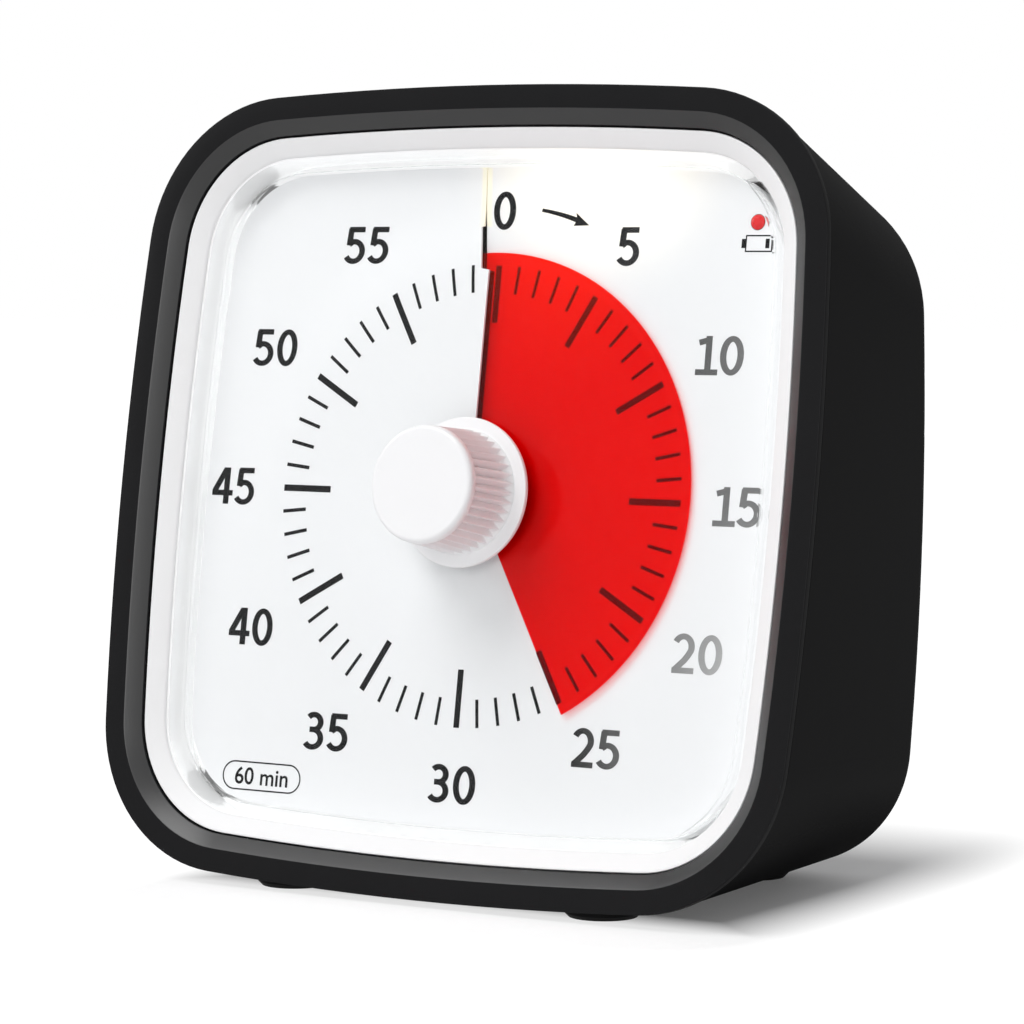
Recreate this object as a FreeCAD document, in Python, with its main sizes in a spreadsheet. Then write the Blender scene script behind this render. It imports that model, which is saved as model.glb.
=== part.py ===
import FreeCAD, Part
import math
import os
import Sketcher

os.makedirs("parts", exist_ok=True)
doc = FreeCAD.newDocument("CountdownTimer")
V = FreeCAD.Vector

# Driving sizes in millimetres and degrees. Dial sizes are measured from the dial's middle,
# with z along the dial's outward normal.
sizes = [
    ("half_width", 70.0), ("side_radius", 700.0), ("corner_radius", 27.0), ("corner_step", 0.9),
    ("lean", 9.0), ("dial_height", 68.85), ("dial_back", -17.0),
    ("front_level", 9.4), ("rim_thick", 1.4), ("groove_wide", 0.6), ("groove_deep", 0.9),
    ("band_wide", 4.1), ("bevel_wide", 2.6), ("bevel_deep", 2.0), ("lip_deep", 4.0),
    ("skin", 2.2), ("back_skin", 3.0), ("back_depth", 55.0), ("side_step", 0.3),
    ("corner_taper", 0.077), ("loft_depth", 72.0), ("back_round", 6.0),
    ("liner_inner", 59.7), ("liner_low", 5.2), ("liner_flange", 65.0), ("seat_level", -3.2),
    ("lens_half", 59.6), ("lens_wall", 2.0), ("lens_top", 5.0), ("lens_face", 3.5),
    ("lens_thick", 1.0), ("lens_hole", 7.0),
    ("card_half", 57.4), ("card_thick", 0.4), ("card_hole", 6.5), ("card_rim", 1.2),
    ("turn_rise", 1.98), ("slot_wide", 0.7), ("slot_reach", 44.5), ("slit_angle", 0.3),
    ("disc_radius", 42.3), ("disc_thick", 0.3), ("hub_radius", 5.0), ("hub_bore", 3.05),
    ("set_angle", 150.0), ("hub_low", -1.5), ("hub_high", 1.15),
    ("shaft_radius", 3.0), ("shaft_low", -18.7), ("shaft_high", 14.0), ("shaft_flat", 2.4),
    ("knob_low", 2.6), ("flange_low", 4.6), ("flange_high", 5.6), ("flange_radius", 13.0),
    ("knob_base", 10.8), ("knob_top", 10.1), ("knob_cap", 9.4), ("knob_shoulder", 17.7),
    ("knob_high", 18.5), ("neck_radius", 6.0), ("groove_count", 40.0), ("groove_cut", 0.75),
    ("chassis_thick", 2.0), ("post_place", 46.0), ("post_radius", 4.5), ("peg_radius", 4.0),
    ("post_level", -16.0), ("well_radius", 3.6), ("well_floor", -19.0), ("screw_radius", 1.5),
    ("screw_head", 3.0), ("screw_head_thick", 2.2), ("screw_tip", -7.0), ("screw_hole", 1.7),
    ("case_left", -24.0), ("case_low", -16.0), ("case_wide", 56.0), ("case_tall", 40.0),
    ("case_wall", 1.2), ("case_deep", 13.6), ("cover_thick", 1.2),
    ("gear_module", 0.4), ("wheel_teeth", 60.0), ("pinion_teeth", 10.0),
    ("idler_teeth", 50.0), ("rotor_teeth", 8.0), ("arbor_radius", 0.6), ("gear_thick", 1.2),
    ("wheel_level", -8.6), ("idler_level", -11.0), ("magnet_radius", 3.0), ("magnet_thick", 2.5),
    ("magnet_level", -16.0), ("stator_level", -15.4), ("stator_thick", 1.2), ("coil_radius", 3.6),
    ("coil_long", 18.0), ("core_wide", 2.0),
    ("bay_height", 34.0), ("bay_wide", 58.0), ("bay_tall", 32.0), ("bay_deep", 17.5),
    ("bay_wall", 1.2), ("door_wide", 64.0), ("door_tall", 38.0), ("door_thick", 1.8),
    ("door_gap", 0.2), ("cell_radius", 7.15), ("cell_long", 49.2), ("cell_apart", 15.6),
    ("nub_radius", 2.7), ("nub_long", 1.2), ("plate_thick", 0.5), ("leaf_tall", 9.6),
    ("leaf_tip", 2.4), ("leaf_thick", 0.5), ("leaf_wide", 6.0),
    ("board_height", 92.0), ("board_wide", 76.0), ("board_tall", 30.0), ("board_thick", 1.6),
    ("board_gap", 8.0), ("pillar_radius", 2.5), ("sounder_radius", 11.5), ("sounder_deep", 6.0),
    ("vent_wide", 24.0), ("vent_tall", 1.8), ("vent_step", 4.0),
    ("slide_place", -28.0), ("slide_wide", 6.0), ("slide_tall", 4.0), ("slide_travel", 4.0),
    ("slide_proud", 1.3), ("push_place", 28.0), ("push_radius", 4.6), ("push_gap", 0.3),
    ("push_proud", 1.6), ("push_travel", 0.8), ("toggle_deep", 4.0),
    ("foot_radius", 6.5), ("foot_thick", 2.75), ("foot_edge", 0.7), ("foot_side", 31.4),
    ("foot_front", -27.0), ("foot_rear", 25.0),
    ("lamp_left", 2.0), ("lamp_wide", 38.0), ("lamp_low", 50.5), ("lamp_tall", 4.2),
    ("lamp_thick", 1.3), ("led_right", 50.6), ("led_up", 47.5), ("led_radius", 1.5),
    ("led_top", 0.7), ("led_hole", 1.75),
]
sheet = doc.addObject("Spreadsheet::Sheet", "Sizes")
for row, (alias, number) in enumerate(sizes, start=1):
    sheet.set("A%d" % row, alias.replace("_", " "))
    sheet.set("B%d" % row, str(number))
    sheet.setAlias("B%d" % row, alias)
doc.recompute()


class Dim:
    """A size: its number now and the sheet formula that drives it."""

    def __init__(self, value, text):
        self.value = float(value)
        self.text = text

    def __add__(self, other):
        other = asDim(other)
        return Dim(self.value + other.value, "(%s + %s)" % (self.text, other.text))

    def __radd__(self, other):
        return asDim(other) + self

    def __sub__(self, other):
        other = asDim(other)
        return Dim(self.value - other.value, "(%s - %s)" % (self.text, other.text))

    def __rsub__(self, other):
        return asDim(other) - self

    def __mul__(self, other):
        other = asDim(other)
        return Dim(self.value * other.value, "(%s * %s)" % (self.text, other.text))

    def __rmul__(self, other):
        return asDim(other) * self

    def __truediv__(self, other):
        other = asDim(other)
        return Dim(self.value / other.value, "(%s / %s)" % (self.text, other.text))

    def __neg__(self):
        return Dim(-self.value, "(0 - %s)" % self.text)


def asDim(number):
    if isinstance(number, Dim):
        return number
    return Dim(number, repr(float(number)))


class Sizes:
    pass


q = Sizes()
for alias, number in sizes:
    setattr(q, alias, Dim(number, "Sizes." + alias))

angle = math.radians(q.lean.value)
leanTan = Dim(math.tan(angle), "tan(Sizes.lean)")
leanCos = Dim(math.cos(angle), "cos(Sizes.lean)")
leanSin = Dim(math.sin(angle), "sin(Sizes.lean)")
backPlane = q.dial_back + q.back_depth * leanCos
parts = []


def drive(target, path, size):
    target.setExpression(path, asDim(size).text)


def label(item, name):
    item.Label = name
    parts.append(item)
    return item


def onDial(item):
    """Places an item that was drawn about the dial's middle."""
    item.Placement = FreeCAD.Placement(
        V(0, q.dial_back.value, q.dial_height.value), FreeCAD.Rotation(V(1, 0, 0), 90 - q.lean.value))
    drive(item, "Placement.Base.y", q.dial_back)
    drive(item, "Placement.Base.z", q.dial_height)
    drive(item, "Placement.Rotation.Angle", 90 - q.lean)
    return item


def moveTo(item, x, y, z):
    for path, size in (("x", x), ("y", y), ("z", z)):
        drive(item, "Placement.Base." + path, size)


def box(x, y, z, wide, deep, tall):
    item = doc.addObject("Part::Box", "Block")
    drive(item, "Length", wide)
    drive(item, "Width", deep)
    drive(item, "Height", tall)
    moveTo(item, x, y, z)
    return item


def rod(x, y, z, radius, long, along="z"):
    item = doc.addObject("Part::Cylinder", "Rod")
    turns = {"z": FreeCAD.Rotation(), "x": FreeCAD.Rotation(V(0, 1, 0), 90),
             "y": FreeCAD.Rotation(V(1, 0, 0), -90)}
    item.Placement = FreeCAD.Placement(V(0, 0, 0), turns[along])
    drive(item, "Radius", radius)
    drive(item, "Height", long)
    moveTo(item, x, y, z)
    return item


def join(items):
    if len(items) == 1:
        return items[0]
    item = doc.addObject("Part::MultiFuse", "Joined")
    item.Shapes = items
    return item


def cut(base, tools):
    item = doc.addObject("Part::Cut", "Cut")
    item.Base = base
    item.Tool = join(tools)
    return item


def common(base, tool):
    item = doc.addObject("Part::MultiCommon", "Shared")
    item.Shapes = [base, tool]
    return item


def group(items):
    item = doc.addObject("Part::Compound", "Group")
    item.Links = items
    return item


def plane(body, role):
    return [f for f in body.Origin.OriginFeatures if f.Role == role][0]


def sketchOn(body, role, level=None):
    sketch = body.newObject("Sketcher::SketchObject", "Profile")
    sketch.AttachmentSupport = [(plane(body, role), "")]
    sketch.MapMode = "FlatFace"
    if level is not None:
        sketch.AttachmentOffset = FreeCAD.Placement(V(0, 0, asDim(level).value), FreeCAD.Rotation())
        drive(sketch, "AttachmentOffset.Base.z", level)
    return sketch


def hold(sketch, name, kind, places, size):
    size = asDim(size)
    number = sketch.addConstraint(Sketcher.Constraint(kind, *places, size.value))
    sketch.renameConstraint(number, name)
    sketch.setExpression("Constraints." + name, size.text)


def outline(sketch, half, corner):
    """Rounded square with gently bowed sides, as eight tangent arcs."""
    bow = q.side_radius
    e = half.value - bow.value
    reach = bow.value - corner.value
    c = (e + math.sqrt(2 * reach ** 2 - e ** 2)) / 2
    turn = math.atan2(c, c - e)
    for quarter in range(4):
        spin = quarter * math.pi / 2
        side = V(e * math.cos(spin), e * math.sin(spin), 0)
        middle = V(c * math.cos(spin) - c * math.sin(spin), c * math.sin(spin) + c * math.cos(spin), 0)
        sketch.addGeometry(Part.ArcOfCircle(
            Part.Circle(side, V(0, 0, 1), bow.value), spin - turn, spin + turn))
        sketch.addGeometry(Part.ArcOfCircle(
            Part.Circle(middle, V(0, 0, 1), corner.value), spin + turn, spin + math.pi / 2 - turn))
    for arc in range(8):
        sketch.addConstraint(Sketcher.Constraint("Tangent", arc, 2, (arc + 1) % 8, 1))
    for arc in (2, 4, 6):
        sketch.addConstraint(Sketcher.Constraint("Equal", 0, arc))
        sketch.addConstraint(Sketcher.Constraint("Equal", 1, arc + 1))
    for arc, axis in ((0, -1), (2, -2), (4, -1), (6, -2)):
        sketch.addConstraint(Sketcher.Constraint("PointOnObject", arc, 3, axis))
    hold(sketch, "bow", "Radius", (0,), bow)
    hold(sketch, "corner", "Radius", (1,), corner)
    hold(sketch, "right", "DistanceX", (0, 3, -1, 1), bow - half)
    hold(sketch, "top", "DistanceY", (2, 3, -1, 1), bow - half)
    hold(sketch, "left", "DistanceX", (-1, 1, 4, 3), bow - half)
    hold(sketch, "bottom", "DistanceY", (-1, 1, 6, 3), bow - half)


def cornerOf(half):
    return q.corner_radius - (q.half_width - half) * q.corner_step


def slab(half, low, high, corner=None):
    """Plate with the bowed outline, between two levels over the dial."""
    body = doc.addObject("PartDesign::Body", "Slab")
    sketch = sketchOn(body, "XY_Plane", low)
    outline(sketch, asDim(half), corner or cornerOf(half))
    pad = body.newObject("PartDesign::Pad", "Pad")
    pad.Profile = sketch
    drive(pad, "Length", high - low)
    return body


def flare(lowHalf, low, highHalf, high, lowCorner=None, highCorner=None):
    """Solid that runs from one bowed outline to another."""
    body = doc.addObject("PartDesign::Body", "Flare")
    first = sketchOn(body, "XY_Plane", low)
    outline(first, asDim(lowHalf), lowCorner or cornerOf(lowHalf))
    second = sketchOn(body, "XY_Plane", high)
    outline(second, asDim(highHalf), highCorner or cornerOf(highHalf))
    loft = body.newObject("PartDesign::AdditiveLoft", "Loft")
    loft.Profile = first
    loft.Sections = [second]
    loft.Ruled = True
    return body


def polygon(sketch, points):
    count = len(points)
    for i in range(count):
        a = points[i]
        b = points[(i + 1) % count]
        sketch.addGeometry(Part.LineSegment(
            V(asDim(a[0]).value, asDim(a[1]).value, 0), V(asDim(b[0]).value, asDim(b[1]).value, 0)))
    for i in range(count):
        sketch.addConstraint(Sketcher.Constraint("Coincident", i, 2, (i + 1) % count, 1))
    for i, point in enumerate(points):
        for axis, kind, size in ((-2, "DistanceX", point[0]), (-1, "DistanceY", point[1])):
            size = asDim(size)
            name = "p%d%s" % (i, kind[-1])
            if abs(size.value) < 1e-9:
                sketch.addConstraint(Sketcher.Constraint("PointOnObject", i, 1, axis))
            elif size.value > 0:
                hold(sketch, name, kind, (-1, 1, i, 1), size)
            else:
                hold(sketch, name, kind, (i, 1, -1, 1), -size)


def turned(points):
    """Revolved solid from radius and height pairs."""
    body = doc.addObject("PartDesign::Body", "Turned")
    sketch = sketchOn(body, "XZ_Plane")
    polygon(sketch, points)
    spin = body.newObject("PartDesign::Revolution", "Spin")
    spin.Profile = sketch
    spin.ReferenceAxis = (sketch, ["V_Axis"])
    spin.Angle = 360
    return body


def ring(inner, outer, low, high):
    return turned([(inner, low), (outer, low), (outer, high), (inner, high)])


# Front frame: flat band, bevel down to the liner, and a lip that drops into the housing.
rimLow = q.front_level - q.rim_thick
seamLevel = rimLow - q.groove_wide
boreHalf = q.half_width - q.band_wide - q.bevel_wide
bevelLow = q.front_level - q.bevel_deep
lipLow = bevelLow - q.lip_deep
shellHalf = q.half_width - q.side_step
bezel = cut(
    join([slab(q.half_width, rimLow, q.front_level),
          slab(q.half_width - q.groove_deep, seamLevel, rimLow + 0.5),
          slab(shellHalf - q.skin - leanTan * (seamLevel - lipLow) - 0.05, lipLow, seamLevel + 0.5)]),
    [slab(boreHalf, lipLow - 1, bevelLow + 0.01),
     flare(boreHalf, bevelLow, boreHalf + q.bevel_wide * 1.5, q.front_level + q.bevel_deep * 0.5)])
label(onDial(bezel), "front_frame")

# Rear housing: tapered skin whose base lies level and whose back stands upright.
farLevel = -q.loft_depth
run = seamLevel + q.loft_depth
farHalf = shellHalf - leanTan * run
farCorner = q.corner_radius - q.corner_taper * run
outerLoft = onDial(flare(farHalf, farLevel, shellHalf, seamLevel, farCorner, q.corner_radius))
innerLoft = onDial(flare(farHalf - q.skin, farLevel, shellHalf - q.skin + leanTan, seamLevel + 1,
                         farCorner - q.skin, q.corner_radius - q.skin))
beyond = 90.0
outerBody = cut(outerLoft, [box(-beyond, backPlane, -beyond, 2 * beyond, beyond, 4 * beyond)])
innerBody = cut(innerLoft, [box(-beyond, backPlane - q.back_skin, -beyond, 2 * beyond, beyond, 4 * beyond)])
doc.recompute()
rounded = doc.addObject("Part::Fillet", "RoundedBack")
rounded.Base = outerBody
backEdges = []
for number, edge in enumerate(outerBody.Shape.Edges, start=1):
    if all(abs(p.Point.y - backPlane.value) < 1e-4 for p in edge.Vertexes):
        backEdges.append((number, q.back_round.value, q.back_round.value))
rounded.Edges = backEdges
doc.recompute()

corners = [(1, 1), (-1, 1), (-1, -1), (1, -1)]
farDown = -90.0


def fourRods(radius, low, high):
    rods = [rod(q.post_place * sx, q.post_place * sy, low, radius, high - low) for sx, sy in corners]
    return onDial(join(rods))


posts = common(fourRods(q.post_radius, asDim(farDown), q.post_level), rounded)
hollow = cut(rounded, [innerBody])
solid = join([hollow, posts])
bayLow = q.bay_height - q.bay_tall / 2
doorLow = q.bay_height - q.door_tall / 2
openings = [
    fourRods(q.well_radius, asDim(farDown), q.well_floor),
    fourRods(q.screw_hole, q.well_floor - 1, q.post_level + 1),
    box(-q.bay_wide / 2, backPlane - q.back_skin - 1, bayLow, q.bay_wide, q.back_skin + 2, q.bay_tall),
    box(-q.door_wide / 2, backPlane - q.door_thick, doorLow, q.door_wide, q.door_thick + 1, q.door_tall),
    box(q.slide_place - q.slide_wide / 2 - q.slide_travel / 2 - 0.3,
        backPlane - q.back_skin - 1, q.board_height - q.slide_tall / 2 - 0.3,
        q.slide_wide + q.slide_travel + 0.6, q.back_skin + 2, q.slide_tall + 0.6),
    rod(q.push_place, backPlane - q.back_skin - 1, q.board_height, q.push_radius + q.push_gap,
        q.back_skin + 2, "y"),
]
for i in range(5):
    openings.append(box(-q.vent_wide / 2, backPlane - q.back_skin - 1,
                        q.board_height + q.vent_step * (i - 2) - q.vent_tall / 2,
                        q.vent_wide, q.back_skin + 2, q.vent_tall))
feetPlaces = [(1, q.foot_front), (-1, q.foot_front), (-1, q.foot_rear), (1, q.foot_rear)]
for side, y in feetPlaces:
    openings.append(rod(q.foot_side * side, y, 0, q.foot_radius, q.foot_thick))
shell = cut(solid, openings)
label(shell, "rear_housing")

# Feet and the four long screws from the back.
feetSolids = []
for side, y in feetPlaces:
    foot = turned([(0, 0), (q.foot_radius - q.foot_edge, 0), (q.foot_radius, q.foot_edge),
                   (q.foot_radius, q.foot_thick), (0, q.foot_thick)])
    moveTo(foot, q.foot_side * side, y, 0)
    feetSolids.append(foot)
feet = group(feetSolids)
label(feet, "feet")


def postScrew(sx, sy):
    head = rod(q.post_place * sx, q.post_place * sy, q.well_floor - q.screw_head_thick,
               q.screw_head, q.screw_head_thick)
    shank = rod(q.post_place * sx, q.post_place * sy, q.well_floor - 0.2, q.screw_radius,
                q.screw_tip - q.well_floor + 0.2)
    slotA = box(q.post_place * sx - 1.8, q.post_place * sy - 0.35,
                q.well_floor - q.screw_head_thick - 1, 3.6, 0.7, 2.0)
    slotB = box(q.post_place * sx - 0.35, q.post_place * sy - 1.8,
                q.well_floor - q.screw_head_thick - 1, 0.7, 3.6, 2.0)
    return cut(join([head, shank]), [slotA, slotB])


label(onDial(group([postScrew(sx, sy) for sx, sy in corners])), "housing_screws")

# White liner between the frame and the lens.
liner = cut(
    join([slab(boreHalf, q.seat_level, bevelLow - 0.1), slab(q.liner_flange, q.seat_level, lipLow)]),
    [slab(q.liner_inner, q.seat_level - 1, bevelLow + 1),
     flare(q.liner_inner - 0.01, q.liner_low, boreHalf - 0.2, bevelLow - 0.05)])
label(onDial(liner), "white_liner")

# Clear lens: a shallow tray with a raised rim, open in the middle for the knob.
lensBore = q.lens_half - q.lens_wall
lens = cut(slab(q.lens_half, q.seat_level, q.lens_top),
           [slab(lensBore, q.lens_face, q.lens_top + 1),
            slab(lensBore, q.seat_level - 1, q.lens_face - q.lens_thick),
            rod(0, 0, 0, q.lens_hole, q.lens_top + 1)])
label(onDial(lens), "clear_lens")

# Chassis plate that carries the lens, the dial and the movement.
chassisLow = q.seat_level - q.chassis_thick
chassis = cut(
    join([slab(q.liner_flange, chassisLow, q.seat_level)]
         + [rod(q.post_place * sx, q.post_place * sy, q.post_level, q.peg_radius,
                chassisLow - q.post_level + 0.5) for sx, sy in corners]),
    [rod(0, 0, chassisLow - 1, q.shaft_radius + 0.5, q.chassis_thick + 2)]
    + [rod(q.post_place * sx, q.post_place * sy, q.post_level - 1, q.screw_radius,
           q.screw_tip - q.post_level + 1) for sx, sy in corners])
label(onDial(chassis), "chassis_plate")


def spiralFace(radius, startTurn, coverTurn):
    """One shallow screw surface: it rises clockwise, seen from the front."""
    rise = q.turn_rise.value / 360.0
    edges = []
    for r in (1.5, radius):
        helix = Part.makeHelix(q.turn_rise.value, rise * coverTurn, r)
        helix = helix.mirror(V(0, 0, 0), V(0, 1, 0))
        helix.rotate(V(0, 0, 0), V(0, 0, 1), 90 - startTurn)
        helix.translate(V(0, 0, rise * startTurn))
        edges.append(helix.Edges[0])
    return Part.makeRuledSurface(edges[0], edges[1])


def fixed(shape):
    item = doc.addObject("Part::Feature", "Formed")
    item.Shape = shape
    return item


# Dial card: one turn of the screw surface with a slit at twelve o'clock.
halfStep = q.turn_rise.value / 2
cardFace = spiralFace(100.0, q.slit_angle.value / 2, 360.0 - q.slit_angle.value)
cardFace.translate(V(0, 0, -halfStep - q.card_thick.value / 2))
cardSheet = fixed(cardFace.extrude(V(0, 0, q.card_thick.value)))
cardDeepFace = cardFace.copy()
cardDeepFace.translate(V(0, 0, q.card_thick.value))
cardDeep = fixed(cardDeepFace.extrude(V(0, 0, -9.0)))
card = join([common(cardSheet, slab(q.card_half, asDim(-8.0), asDim(8.0))),
             common(cardDeep, cut(slab(q.card_half, q.seat_level, asDim(8.0)),
                                  [slab(q.card_half - q.card_rim, q.seat_level - 1, asDim(9.0))]))])
card = cut(card, [rod(0, 0, -8, q.card_hole, 16),
                  box(-q.slot_wide / 2, 0, -8, q.slot_wide, q.slot_reach, 16),
                  rod(q.led_right, q.led_up, -8, q.led_hole, 16)])
label(onDial(card), "dial_card")

# Red disc: the same screw surface, from one turn behind the set time up to the set time.
discGap = 0.5
discFace = spiralFace(q.disc_radius.value + 5, q.set_angle.value - 360 + discGap, 360.0 - discGap)
discFace.translate(V(0, 0, -q.disc_thick.value / 2))
discSheet = fixed(discFace.extrude(V(0, 0, q.disc_thick.value)))
disc = common(discSheet, ring(q.hub_radius, q.disc_radius, asDim(-5.0), asDim(5.0)))
label(onDial(disc), "time_disc")

flatDrop = q.shaft_radius - q.shaft_flat
hub = cut(rod(0, 0, q.hub_low, q.hub_radius, q.hub_high - q.hub_low),
          [cut(rod(0, 0, q.hub_low - 1, q.hub_bore, q.hub_high - q.hub_low + 2),
               [box(-4, q.hub_bore - flatDrop, -8, 8, 8, 16)])])
label(onDial(hub), "disc_hub")

# Shaft with a flat that drives the hub, and the knurled knob.
shaft = cut(rod(0, 0, q.shaft_low, q.shaft_radius, q.shaft_high - q.shaft_low),
            [box(-4, q.shaft_flat, asDim(-2.9), 8, 4, q.knob_low + 2.9)])
label(onDial(shaft), "shaft")

knobBody = turned([
    (q.shaft_radius, q.knob_low), (q.neck_radius, q.knob_low), (q.neck_radius, q.flange_low),
    (q.flange_radius, q.flange_low), (q.flange_radius, q.flange_high), (q.knob_base, q.flange_high),
    (q.knob_top, q.knob_shoulder), (q.knob_cap, q.knob_high), (0, q.knob_high),
    (0, q.shaft_high), (q.shaft_radius, q.shaft_high)])
grooveSketch = sketchOn(knobBody, "XY_Plane", q.flange_high + 0.5)
polygon(grooveSketch, [
    (q.knob_base - q.groove_cut - 0.2, 0), (q.knob_base + 0.6, -0.9), (q.knob_base + 0.6, 0.9)])
groove = knobBody.newObject("PartDesign::Pocket", "Groove")
groove.Profile = grooveSketch
groove.Reversed = True
drive(groove, "Length", q.knob_shoulder - q.flange_high - 1.6)
pattern = knobBody.newObject("PartDesign::PolarPattern", "Grooves")
pattern.Originals = [groove]
pattern.Axis = (plane(knobBody, "Z_Axis"), [""])
pattern.Angle = 360
drive(pattern, "Occurrences", q.groove_count)
knobBody.Tip = pattern
label(onDial(knobBody), "knob")

# Movement: case, cover, gear train, rotor, stator and coil.
caseLow = chassisLow - q.case_deep
idlerPlace = q.gear_module * (q.wheel_teeth + q.pinion_teeth) / 2
rotorPlace = q.gear_module * (q.idler_teeth + q.rotor_teeth) / 2
arborLow = caseLow - 0.45
arborHigh = chassisLow - q.case_wall + 0.45
pivots = []
for x, y in ((idlerPlace, asDim(0)), (idlerPlace, rotorPlace)):
    pivots.append(rod(x, y, arborLow - 0.05, q.arbor_radius + 0.05, arborHigh - arborLow + 0.1))
innerLow = caseLow - 1
case = cut(
    box(q.case_left, q.case_low, caseLow, q.case_wide, q.case_tall, q.case_deep),
    [box(q.case_left + q.case_wall, q.case_low + q.case_wall, innerLow, q.case_wide - 2 * q.case_wall,
         q.case_tall - 2 * q.case_wall, q.case_deep - q.case_wall + 1),
     rod(0, 0, caseLow, q.shaft_radius + 0.05, q.case_deep + 1)] + pivots)
label(onDial(case), "movement_case")

screwSpots = [(q.case_left + 4, q.case_low + 4), (q.case_left + q.case_wide - 4, q.case_low + 4)]
cover = cut(
    join([box(q.case_left, q.case_low, caseLow - q.cover_thick, q.case_wide, q.case_tall, q.cover_thick)]
         + [rod(x, y, caseLow - 0.1, 2.6, q.case_deep - q.case_wall + 0.1) for x, y in screwSpots]),
    pivots + [rod(x, y, caseLow - 5, 1.0, 12) for x, y in screwSpots])
label(onDial(cover), "movement_cover")
movementScrews = group([
    join([rod(x, y, caseLow - q.cover_thick - 1.2, 2.0, 1.2),
          rod(x, y, caseLow - q.cover_thick - 0.1, 1.0, 8.0)])
    for x, y in screwSpots])
label(onDial(movementScrews), "movement_screws")


def gear(teeth, bore, low, thick, phase):
    """Spur wheel with straight-sided teeth and running play."""
    pitch = q.gear_module * teeth / 2
    root = pitch - q.gear_module * 1.15
    tip = pitch + q.gear_module * 0.85
    wide = q.gear_module * 0.72
    body = doc.addObject("PartDesign::Body", "Gear")
    base = sketchOn(body, "XY_Plane", low)
    base.addGeometry(Part.Circle(V(0, 0, 0), V(0, 0, 1), root.value))
    base.addConstraint(Sketcher.Constraint("Coincident", 0, 3, -1, 1))
    hold(base, "root", "Radius", (0,), root)
    if bore is not None:
        base.addGeometry(Part.Circle(V(0, 0, 0), V(0, 0, 1), bore.value))
        base.addConstraint(Sketcher.Constraint("Coincident", 1, 3, -1, 1))
        hold(base, "bore", "Radius", (1,), bore)
    pad = body.newObject("PartDesign::Pad", "Disc")
    pad.Profile = base
    drive(pad, "Length", thick)
    shape = sketchOn(body, "XY_Plane", low)
    polygon(shape, [(root - 0.15, -wide), (tip, -wide * 0.42), (tip, wide * 0.42), (root - 0.15, wide)])
    tooth = body.newObject("PartDesign::Pad", "Tooth")
    tooth.Profile = shape
    drive(tooth, "Length", thick)
    teethRow = body.newObject("PartDesign::PolarPattern", "Teeth")
    teethRow.Originals = [tooth]
    teethRow.Axis = (plane(body, "Z_Axis"), [""])
    teethRow.Angle = 360
    drive(teethRow, "Occurrences", teeth)
    body.Tip = teethRow
    body.Placement = FreeCAD.Placement(V(0, 0, 0), FreeCAD.Rotation(V(0, 0, 1), phase))
    return body


wheel = gear(q.wheel_teeth, q.shaft_radius, q.wheel_level, q.gear_thick, 0)
label(onDial(wheel), "output_wheel")

pinion = gear(q.pinion_teeth, None, q.wheel_level - 0.2, q.gear_thick + 0.4, 18)
idlerWheel = gear(q.idler_teeth, None, q.idler_level, q.gear_thick, 3.6)
idlerArbor = rod(0, 0, arborLow, q.arbor_radius, arborHigh - arborLow)
idler = join([pinion, idlerWheel, idlerArbor])
moveTo(idler, idlerPlace, 0, 0)
idlerNode = group([idler])
label(onDial(idlerNode), "idler_wheel")

rotorPinion = gear(q.rotor_teeth, None, q.idler_level - 0.2, q.gear_thick + 0.4, 22.5)
magnet = rod(0, 0, q.magnet_level, q.magnet_radius, q.magnet_thick)
rotorArbor = rod(0, 0, arborLow, q.arbor_radius, arborHigh - arborLow)
rotor = join([rotorPinion, magnet, rotorArbor])
moveTo(rotor, idlerPlace, rotorPlace, 0)
rotorNode = group([rotor])
label(onDial(rotorNode), "rotor")

stator = cut(
    join([box(idlerPlace - 10, rotorPlace - 5, q.stator_level, 15, 10, q.stator_thick),
          box(q.case_left + q.case_wall, rotorPlace - q.core_wide / 2, q.stator_level,
              idlerPlace - 9 - q.case_left - q.case_wall, q.core_wide, q.stator_thick),
          rod(idlerPlace - 7, rotorPlace + 3, caseLow, 1.4, q.stator_level - caseLow + 0.1),
          rod(idlerPlace + 3.5, rotorPlace - 3.4, caseLow, 0.9, q.stator_level - caseLow + 0.1)]),
    [rod(idlerPlace, rotorPlace, q.stator_level - 1, q.magnet_radius + 0.4, q.stator_thick + 2)])
label(onDial(stator), "stator")
coil = cut(
    rod(-20, rotorPlace, q.stator_level + q.stator_thick / 2, q.coil_radius, q.coil_long, "x"),
    [box(-23, rotorPlace - q.core_wide / 2, q.stator_level, q.coil_long + 8, q.core_wide, q.stator_thick)])
label(onDial(coil), "coil")

# Lights behind the card.
lamp = cut(box(q.lamp_left, q.lamp_low, q.seat_level, q.lamp_wide, q.lamp_tall, q.lamp_thick),
           [box(q.lamp_left + q.lamp_wide / 2 - 1.8, q.lamp_low - 1, q.seat_level - 1,
                3.6, 3.0, q.lamp_thick + 2)])
label(onDial(group([lamp])), "light_guide")
nightLed = box(q.lamp_left + q.lamp_wide / 2 - 1.6, q.lamp_low - 0.6, q.seat_level, 3.2, 2.4, 1.1)
label(onDial(group([nightLed])), "night_light_led")
ledBody = turned([(0, q.seat_level), (q.led_radius + 0.4, q.seat_level),
                  (q.led_radius + 0.4, q.seat_level + 0.8),
                  (q.led_radius, q.seat_level + 0.8), (q.led_radius, q.led_top - 1.2),
                  (q.led_radius * 0.8, q.led_top - 0.45), (q.led_radius * 0.4, q.led_top - 0.08),
                  (0, q.led_top)])
moveTo(ledBody, q.led_right, q.led_up, 0)
label(onDial(group([ledBody])), "battery_led")

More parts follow.
